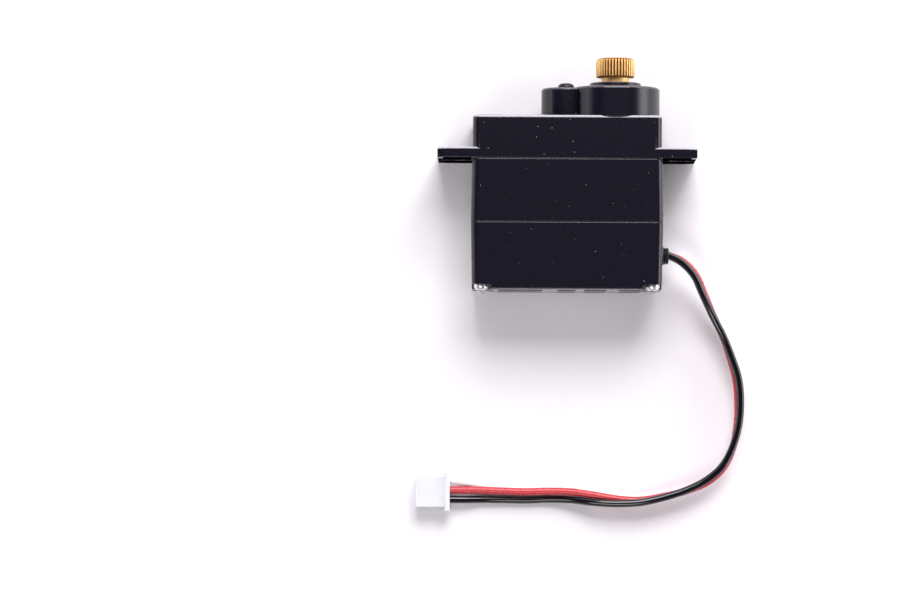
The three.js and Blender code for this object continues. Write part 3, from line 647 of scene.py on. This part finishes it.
TAB_BOTTOM = BASE_Y + mm(19.8)
TAB_TOP = BASE_Y + mm(21.4)
TAB_HOLE_X = mm(16.9)
TAB_HOLE = mm(1.15)  # radius

HEAD_TOP = BASE_Y + mm(30.85)
COLLAR_TOP = TOP_HIGH.y
BIG_LOBE = mm(6.75)  # this and the next two are radii
SMALL_LOBE = mm(3.75)
COLLAR = mm(3.9)
LOBE_EDGE = mm(0.4)
SMALL_LOBE_DROP = mm(0.1)  # how far its top is below the big lobe's
GEAR_ROOM_TOP = BASE_Y + mm(28.9)

SCREW_X = mm(12.95)
SCREW_INSET = mm(1.35)
SCREW_SEAT = mm(0.65)  # above the bottom face
SCREW_BORE = mm(0.65)  # radius
SCREW_POST = mm(1.15)  # radius
CORNERS = [
    (side_x, side_z, side_x * SCREW_X, MIDDLE + side_z * (MIDDLE - SCREW_INSET))
    for side_z in (-1, 1)
    for side_x in (-1, 1)
]


def corner_rods(radius, low, high):
    return [rod("corner_rod", radius, low, high, x, z, sides=24) for _, _, x, z in CORNERS]


def inside_block(half_width, low, high):
    """A cutter for a shell's room, which leaves a post round each case screw."""
    room = block("room", half_width, MIDDLE - WALL, low, high, mm(0.6), 0, 0)
    return combine(room, corner_rods(SCREW_POST, low - WALL, high + WALL), "DIFFERENCE")


def flared_hole(name, radius, flare, low, high, x, sides=48):
    """A cutter that leaves a hole with a small chamfer at both mouths."""
    profile = [
        (radius + 2 * flare, low - flare),
        (radius, low + flare),
        (radius, high - flare),
        (radius + 2 * flare, high + flare),
    ]
    return turned(name, profile, x, sides=sides)


def pressed_flat(z, limit):
    """z held within about +-limit, with a soft bend where the two meet."""
    soft = mm(0.09)
    room = (limit - abs(z)) / soft
    if room > 30:  # too far inside for the bend to show
        return z
    return math.copysign(abs(z) + soft * (room - math.log1p(math.exp(room))), z)


def big_lobe(low):
    """The drum round the output gear, pressed flat where it is wider than the case is deep.

    Rings just over the roof and just under the top edge keep the shading of its wall even.
    """
    rounding = ends_rounded(low, HEAD_TOP, 0, LOBE_EDGE)[-5:]
    rings = []
    for inset, y in [(0, low), (0, ROOF + mm(0.02)), (0, HEAD_TOP - LOBE_EDGE - mm(0.05)), *rounding]:
        outline = [(x, pressed_flat(z, MIDDLE - inset)) for x, z in circle(BIG_LOBE - inset, 120)]
        rings.append(upright_ring(outline, y, OUTPUT_X))
    return loft("big_lobe", rings)


def tabs():
    """Both mounting tabs in one plate, with cut corners."""
    cut_x, cut_z = mm(1.35), mm(0.5)
    rings = []
    for inset, y in ends_rounded(TAB_BOTTOM, TAB_TOP, mm(0.15), mm(0.3)):
        half_x, half_z = TAB_HALF - inset, MIDDLE - inset
        outline = []
        for sx, sz in ((1, 1), (-1, 1), (-1, -1), (1, -1)):
            ends = [(half_x, half_z - cut_z), (half_x - cut_x, half_z)]
            if sx * sz < 0:
                ends.reverse()
            for x, z in ends:
                outline.append((sx * x, sz * z))
        rings.append(upright_ring(outline, y))
    return loft("tabs", rings)


def top_shell():
    """The upper shell: its box, the rim over the high seam, both tabs, two lobes and the collar."""
    body = block("top_shell", TOP_HALF, MIDDLE, HIGH_SEAM, ROOF, CORNER, SEAM_EDGE, ROOF_EDGE)
    rim = block("rim", RIM_HALF, MIDDLE, HIGH_SEAM, TAB_TOP - mm(0.5), CORNER, SEAM_EDGE, mm(0.1))
    lobe_low = ROOF - mm(0.8)  # sunk into the roof, so that they join
    big = big_lobe(lobe_low)
    small = drum("small_lobe", SMALL_LOBE, lobe_low, HEAD_TOP - SMALL_LOBE_DROP, AXLE_X, LOBE_EDGE)
    collar = drum("collar", COLLAR, HEAD_TOP - mm(0.5), COLLAR_TOP, OUTPUT_X, mm(0.15))
    combine(body, [rim, tabs(), big, small, collar], "UNION")
    ceiling = ROOF - WALL
    hollows = [
        inside_block(TOP_HALF - WALL, HIGH_SEAM - WALL, ceiling),
        rod("gear_room", mm(5.75), ceiling - WALL, GEAR_ROOM_TOP, OUTPUT_X, sides=64),
        rod("gear_room", mm(2.75), ceiling - WALL, GEAR_ROOM_TOP, AXLE_X, sides=48),
        rod("bearing_seat", mm(3.2), GEAR_ROOM_TOP - WALL, BASE_Y + mm(30.65), OUTPUT_X, sides=64),
        flared_hole("shaft_hole", mm(2.6), mm(0.06), BASE_Y + mm(30.6), COLLAR_TOP, OUTPUT_X, sides=64),
        rod("axle_hole", mm(0.7), GEAR_ROOM_TOP - WALL, HEAD_TOP + WALL, AXLE_X),
    ]
    for side in (-1, 1):
        hollows.append(flared_hole("tab_hole", TAB_HOLE, mm(0.1), TAB_BOTTOM, TAB_TOP, side * TAB_HOLE_X))
    hollows += corner_rods(SCREW_BORE, HIGH_SEAM - WALL, ceiling - mm(0.6))
    combine(body, hollows, "DIFFERENCE")
    shell = finished(body, "servo_case", "case_plastic", "top_case")
    shell.data.materials.append(TAB_UNDERSIDE)
    for face in shell.data.polygons:
        if is_tab_underside(face):
            face.material_index = 1
    return shell


def is_tab_underside(face):
    """Whether a face of the upper shell is on the underside of a mounting tab."""
    low, beside_case = face.center.y < TAB_BOTTOM + mm(0.05), abs(face.center.x) > RIM_HALF
    return low and beside_case and face.normal.y < -0.9


def drafted(low, high, half_low, half_high):
    """The half width of a drafted shell, as a function of y."""

    def half_width(y):
        return half_low + (half_high - half_low) * (y - low) / (high - low)

    return half_width


def mid_shell():
    """The middle shell, with the plate that carries the motor and the output shaft's bush."""
    half = drafted(LOW_SEAM, HIGH_SEAM, MID_HALF_LOW, MID_HALF_HIGH)
    body = block("mid_shell", half, MIDDLE, LOW_SEAM, HIGH_SEAM, CORNER, SEAM_EDGE, SEAM_EDGE)
    plate = HIGH_SEAM - mm(1.2)
    hollows = [
        inside_block(mm(13.4), LOW_SEAM - WALL, plate),
        rod("motor_hole", mm(1.7), plate - WALL, HIGH_SEAM + WALL, MOTOR_X),
        rod("bush_hole", mm(2.45), plate - WALL, HIGH_SEAM + WALL, OUTPUT_X),
    ]
    hollows += corner_rods(SCREW_BORE, LOW_SEAM - WALL, HIGH_SEAM + WALL)
    combine(body, hollows, "DIFFERENCE")
    return finished(body, "servo_case", "case_plastic", "mid_case")


def bottom_shell():
    """The lower shell, with an open corner for each case screw's head."""
    half = drafted(BASE_Y, LOW_SEAM, BASE_HALF_LOW, BASE_HALF_HIGH)
    body = block("bottom_shell", half, MIDDLE, BASE_Y, LOW_SEAM, CORNER, BASE_EDGE, SEAM_EDGE)
    hollows = [inside_block(mm(13.35), BASE_Y + mm(1.8), LOW_SEAM + WALL)]
    for side_x, side_z, x, z in CORNERS:
        hollows.append(corner_notch(side_x, side_z, x, z))
    hollows += corner_rods(SCREW_BORE, BASE_Y - WALL, LOW_SEAM + WALL)
    combine(body, hollows, "DIFFERENCE")
    return finished(body, "servo_case", "case_plastic", "bottom_case")


def corner_notch(side_x, side_z, x, z):
    """The open corner round a case screw's head: round inside, square outside and domed at its end."""
    radius, reach = mm(1.6), mm(3)
    outline = [(side_x * reach, side_z * reach), (side_x * reach, -side_z * radius)]
    for k in range(9):
        turn = math.pi / 2 * k / 8
        outline.append((-side_x * radius * math.sin(turn), -side_z * radius * math.cos(turn)))
    outline.append((-side_x * radius, side_z * reach))
    straight, narrowing = mm(0.1), 0.28
    rings = [upright_ring(outline, BASE_Y - mm(1), x, z)]
    for k in range(7):
        turn = math.pi / 2 * k / 6
        shrink = 1 - narrowing * (1 - math.cos(turn))
        ring = [(px * shrink, pz * shrink) for px, pz in outline]
        y = BASE_Y + straight + (SCREW_SEAT - straight) * math.sin(turn)
        rings.append(upright_ring(ring, y, x, z))
    return loft("notch", rings)


top_shell()
mid_shell()
bottom_shell()

# ---------------------------------------------------------------- output shaft

SPLINE_TEETH = 38
TOOTH_STEPS = 8
TOOTH_SHAPE = (0, 0.12, 0.6, 0.95, 1, 0.95, 0.6, 0.12)  # shares of a tooth's height, from groove to groove


def spline_outline(root, tip):
    """The toothed outline: tip is the crests' radius and root the grooves'."""
    points = []
    count = SPLINE_TEETH * TOOTH_STEPS
    for i in range(count):
        turn = 2 * math.pi * i / count
        radius = root + (tip - root) * TOOTH_SHAPE[i % TOOTH_STEPS]
        points.append((radius * math.cos(turn), radius * math.sin(turn)))
    return points


def output_shaft():
    """One turned piece, from its lower bore up its outside to the spline and down the horn screw's bore."""
    stations = [  # groove radius, crest radius, height above the case's bottom
        (1.1, 1.1, 21), (1.1, 1.1, 17.95), (1.15, 1.15, 17.9), (1.44, 1.44, 17.9), (1.5, 1.5, 17.96),
        (1.5, 1.5, 24.9), (2.1, 2.1, 24.9), (2.1, 2.1, 27.95), (2.5, 2.5, 27.95), (2.5, 2.5, 28.6),
        (2.1, 2.1, 28.6), (2.1, 2.1, 32.2), (2.14, 2.14, 32.38), (2.3, 2.3, 32.46), (2.5, 2.5, 32.48),
        (2.62, 2.76, 32.5), (2.64, 2.9, 32.58), (2.64, 2.95, 32.7), (2.64, 2.95, 34.85),
        (2.63, 2.91, 35.02), (2.6, 2.8, 35.18), (2.55, 2.64, 35.3), (2.42, 2.46, 35.37),
        (2.25, 2.25, 35.4), (1.15, 1.15, 35.4), (1.05, 1.05, 35.37), (0.9, 0.9, 35.22), (0.9, 0.9, 30.7),
        (0.2, 0.2, 30.4),
    ]
    rings = [
        upright_ring(spline_outline(mm(root), mm(tip)), BASE_Y + mm(y), OUTPUT_X)
        for root, tip, y in stations
    ]
    shaft = finished(loft("spline_shaft", rings), "output", "brass", "output_shaft")
    shaft.data.materials[0] = SPLINE_BRASS
    return shaft


def bearing():
    """The two rings of the ball bearing in the head."""
    low, high, edge = BASE_Y + mm(28.7), BASE_Y + mm(30.6), mm(0.08)
    for name, node, body, inner, outer in (
        ("bearing_bore_ring", "bearing_inner_ring", "output", mm(2.15), mm(2.45)),
        ("bearing_seat_ring", "bearing_outer_ring", "servo_case", mm(2.75), mm(3.15)),
    ):
        profile = [
            (inner + edge, low), (outer - edge, low), (outer, low + edge), (outer, high - edge),
            (outer - edge, high), (inner + edge, high), (inner, high - edge), (inner, low + edge),
        ]
        finished(turned_ring(name, profile, OUTPUT_X), body, "steel", node)


output_shaft()
bearing()

# ---------------------------------------------------------------- screws


def cross_cutter(half_length, half_width, mouth, floor_y, x, z):
    """A cutter for a cross recess that narrows from its mouth to its floor."""
    a, b = half_length, half_width
    outline = [(a, b), (b, b), (b, a), (-b, a), (-b, b), (-a, b)]
    outline += [(-px, -pz) for px, pz in outline]
    rings = []
    for share, y in ((1.05, mouth), (0.55, floor_y)):
        rings.append(upright_ring([(px * share, pz * share) for px, pz in outline], y, x, z))
    return loft("recess", rings)


def pan_screw(name, x, z, seat, way, radius, height, shank, length, slot, node):
    """A pan-head screw with a cross recess. way is 1 where its head faces +y and -1 where it faces -y."""
    dome = [(0.42, 1), (0.62, 0.95), (0.79, 0.83), (0.91, 0.66), (0.98, 0.44), (1, 0.2), (0.98, 0)]
    profile = [(radius * r, seat + way * height * h) for r, h in dome]
    profile += [(shank, seat), (shank, seat - way * (length - shank)), (0.15 * shank, seat - way * length)]
    screw = turned(name, profile, x, z, sides=48)
    mouth = seat + way * (height + mm(0.05))
    floor_y = seat + way * 0.45 * height
    recess = cross_cutter(0.62 * radius, 0.15 * radius, mouth, floor_y, x, z)
    combine(screw, [recess], "DIFFERENCE")
    return finished(screw, "servo_case", slot, node)


def screws():
    """Four long case screws that face down, and the short one on the small lobe that faces up."""
    seat = BASE_Y + SCREW_SEAT
    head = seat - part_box("case_screw_1")[0].y
    for i, (_, _, x, z) in enumerate(CORNERS, 1):
        pan_screw(
            f"corner_screw_{i}", x, z, seat, way=-1, radius=mm(1.1), height=head, shank=mm(0.6),
            length=mm(22.6), slot="steel", node=f"case_screw_{i}",
        )
    pan_screw(
        "lobe_screw", AXLE_X, MIDDLE, HEAD_TOP - SMALL_LOBE_DROP, way=1, radius=mm(1.25), height=mm(0.85),
        shank=mm(0.65), length=mm(0.85), slot="black_steel", node="axle_retaining_screw",
    )


screws()

# ---------------------------------------------------------------- label, grommet and plug


def label():
    """A thin plate with round corners on the case's bottom face."""
    low, high, edge = LABEL_LOW.y, LABEL_HIGH.y, mm(0.03)
    half_x, half_z = LABEL_HIGH.x, (LABEL_HIGH.z - LABEL_LOW.z) / 2
    rings = []
    for inset, y in ((edge, low), (0, low + edge), (0, high)):
        rings.append(upright_ring(rounded_rectangle(half_x - inset, half_z - inset, mm(0.7)), y))
    return finished(loft("foil_label", rings), "servo_case", "label_foil", "bottom_label")


def grommet():
    """The ribbed bush of the lead: an inner lip, the neck in the case's wall, an outer lip and the nub."""
    stations = [  # half size across y, x of the ring
        (1.25, 12.6), (1.4, 12.7), (1.4, 13.2), (1.3, 13.3), (0.98, 13.3), (0.98, 14.54),
        (1.3, 14.54), (1.4, 14.58), (1.4, 14.68), (1.32, 14.75), (1.05, 14.77), (1.05, 14.82),
        (1.15, 14.87), (1.22, 14.96), (1.18, 15.06), (1.04, 15.11), (1.04, 15.16), (1.18, 15.22),
        (1.21, 15.32), (1.15, 15.42), (1.0, 15.49), (0.8, 15.5),
    ]
    centre_y = (GROMMET_LOW.y + GROMMET_HIGH.y) / 2
    tall = mm(1.3)  # how much deeper than wide it is, to hold three wires on edge
    rings = []
    for half, x in stations:
        outline = rounded_rectangle(mm(half), mm(half) + tall, 0.93 * mm(half))
        rings.append([Vector((mm(x), centre_y + py, MIDDLE + pz)) for py, pz in outline])
    return finished(loft("wire_grommet", rings), "servo_case", "rubber", "grommet")


PLUG_Y = (PLUG_LOW.y + PLUG_HIGH.y) / 2
PITCH = mm(1.5)
CONTACT_ROWS = [PLUG_Y + k * PITCH for k in (-1, 0, 1)]


def brick(name, low, high, edge=0):
    """A block between two corners, with softened edges where edge is given."""
    builder = bmesh.new()
    bmesh.ops.create_cube(builder, size=1)
    size, middle = high - low, (high + low) / 2
    for vertex in builder.verts:
        vertex.co = Vector(a * b for a, b in zip(vertex.co, size)) + middle
    if edge:
        bmesh.ops.bevel(
            builder, geom=builder.edges[:], offset=edge, segments=3, profile=0.5, affect="EDGES"
        )
    return new_object(name, builder)


def straight_cutter(name, ends, y, half_y, heights):
    """A cutter from its two ends along x, its middle and half width along y, and its two heights."""
    low, high = zip(ends, (y - half_y, y + half_y), heights)
    return brick(name, Vector(low), Vector(high))


def plug():
    """The wire housing: a body with two ribs along each side, a flange, and a room for each contact.

    far is its mating end. Each room has a latch window below and a shallow dimple above.
    """
    far, mouth, top = PLUG_LOW.x, PLUG_HIGH.x, PLUG_HIGH.z
    half, flange_half = mm(2.4), (PLUG_HIGH.y - PLUG_LOW.y) / 2
    flange_far = mouth - mm(0.75)
    body_top = top - mm(0.3)
    body_low = Vector((far, PLUG_Y - half, 0))
    body = brick("plug_shell", body_low, Vector((mouth - mm(0.1), PLUG_Y + half, body_top)), mm(0.12))
    flange_low = Vector((flange_far, PLUG_Y - flange_half, 0))
    flange = brick("flange", flange_low, Vector((mouth, PLUG_Y + flange_half, top)), mm(0.1))
    ribs = []
    for side in (-1, 1):
        near, away = sorted((PLUG_Y + side * (half - mm(0.2)), PLUG_Y + side * (half + mm(0.25))))
        for low, high in ((mm(0.5), mm(1.0)), (mm(2.1), mm(2.6))):
            rib_low = Vector((far + mm(0.5), near, low))
            ribs.append(brick("rib", rib_low, Vector((flange_far + mm(0.2), away, high)), mm(0.08)))
    combine(body, [flange, *ribs], "UNION")
    middle, room = body_top / 2, mm(0.45)
    latch, dimple = (far + mm(2.1), far + mm(3.2)), (far + mm(0.4), far + mm(0.62))
    cutters = []
    for y in CONTACT_ROWS:
        cutters += [
            straight_cutter("socket", (far - mm(1), far + mm(4)), y, room, (middle - room, middle + room)),
            straight_cutter("dimple", dimple, y, mm(0.09), (body_top - mm(0.12), top)),
            straight_cutter("latch_window", latch, y, mm(0.32), (-mm(1), middle)),
        ]
    combine(body, cutters, "DIFFERENCE")
    return finished(body, "servo_case", "white_plastic", "plug_housing")


def contacts():
    """A folded socket contact in each room of the plug: a box with a bore and a seam along its top."""
    for i, y in enumerate(CONTACT_ROWS, 1):
        low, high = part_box(f"plug_contact_{i}")
        contact = brick(f"socket_contact_{i}", low, high, mm(0.06))
        before, inside, top = low.x - mm(1), (low.z + mm(0.12), high.z - mm(0.12)), high.z
        bore = straight_cutter("bore", (before, low.x + mm(2.4)), y, mm(0.22), inside)
        across_top = (top - mm(0.2), top + mm(0.2))
        seam = straight_cutter("seam", (before, low.x + mm(2.6)), y, mm(0.03), across_top)
        combine(contact, [bore, seam], "DIFFERENCE")
        finished(contact, "servo_case", "tinned_contact", f"plug_contact_{i}")


label()
grommet()
plug()
contacts()

# ---------------------------------------------------------------- floor and light

FLOOR_REACH = 4
SOFTBOX_DISTANCE = 0.9
PALE = (1, 0.985, 1)
HORIZON = 0.85  # strength of the pale backdrop all round
OVERHEAD = 0.06  # strength of the dark ceiling, which the black case reflects
LIGHTS = (  # name, azimuth, elevation, width, height, radiance
    ("key", 82, 48, 34, 30, 10.3),
    ("low_left", 118, 20, 50, 22, 2.4),
    ("low_right", 55, 18, 50, 22, 4.6),
    ("side", 355, 14, 60, 26, 3.6),
    ("far_side", 185, 14, 40, 18, 1.0),
    ("fill", 248, 57, 34, 18, 6.4),
)


def pale_floor():
    """The wide floor under the servo."""
    mesh = bpy.data.meshes.new("floor")
    corners = [(x * FLOOR_REACH, y * FLOOR_REACH, 0) for x, y in ((-1, -1), (1, -1), (1, 1), (-1, 1))]
    mesh.from_pydata(corners, [], [(0, 1, 2, 3)])
    look = Look("floor", roughness=0.6)
    look.shader.inputs["Base Color"].default_value = (0.83, 0.8, 0.835, 1)
    mesh.materials.append(look.material)
    floor = bpy.data.objects.new("floor", mesh)
    bpy.context.scene.collection.objects.link(floor)


def studio_world():
    """A pale backdrop round the horizon that darkens towards the ceiling."""
    world = bpy.data.worlds.new("studio")
    world.use_nodes = True
    nodes, links = world.node_tree.nodes, world.node_tree.links
    background = nodes["Background"]
    background.inputs["Color"].default_value = (*PALE, 1)
    direction = nodes.new("ShaderNodeTexCoord")
    parts = nodes.new("ShaderNodeSeparateXYZ")
    strength = nodes.new("ShaderNodeMapRange")
    strength.interpolation_type = "SMOOTHSTEP"
    for socket, value in (("From Min", 0.12), ("From Max", 0.5), ("To Min", HORIZON), ("To Max", OVERHEAD)):
        strength.inputs[socket].default_value = value
    links.new(direction.outputs["Generated"], parts.inputs[0])
    links.new(parts.outputs["Z"], strength.inputs["Value"])
    links.new(strength.outputs["Result"], background.inputs["Strength"])
    bpy.context.scene.world = world


def softbox(name, azimuth, elevation, wide, high, radiance):
    """A softbox in a direction from the servo: four angles in degrees, with the azimuth from +X."""
    turn, rise = math.radians(azimuth), math.radians(elevation)
    way = Vector((math.cos(turn) * math.cos(rise), math.sin(turn) * math.cos(rise), math.sin(rise)))
    data = bpy.data.lights.new(name, "AREA")
    data.shape = "RECTANGLE"
    data.size = 2 * SOFTBOX_DISTANCE * math.tan(math.radians(wide / 2))
    data.size_y = 2 * SOFTBOX_DISTANCE * math.tan(math.radians(high / 2))
    data.color = PALE
    data.energy = radiance * math.pi * data.size * data.size_y
    light = bpy.data.objects.new(name, data)
    light.location = way * SOFTBOX_DISTANCE
    light.rotation_euler = way.to_track_quat("Z", "Y").to_euler()
    light.visible_camera = False
    bpy.context.scene.collection.objects.link(light)


pale_floor()
studio_world()
for light in LIGHTS:
    softbox(*light)

# ---------------------------------------------------------------- cords and the end of the script

BESIDE_RED = {"black": (3, 4), "red": (None, None), "white": (5, 6)}  # the columns of LEAD_ROUTE

for number, (colour, columns) in enumerate(BESIDE_RED.items(), 1):
    wire, line = wire_curve(f"wire_{colour}", wire_points(*columns), f"wire_{colour}")
    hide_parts(f"lead_{colour}")
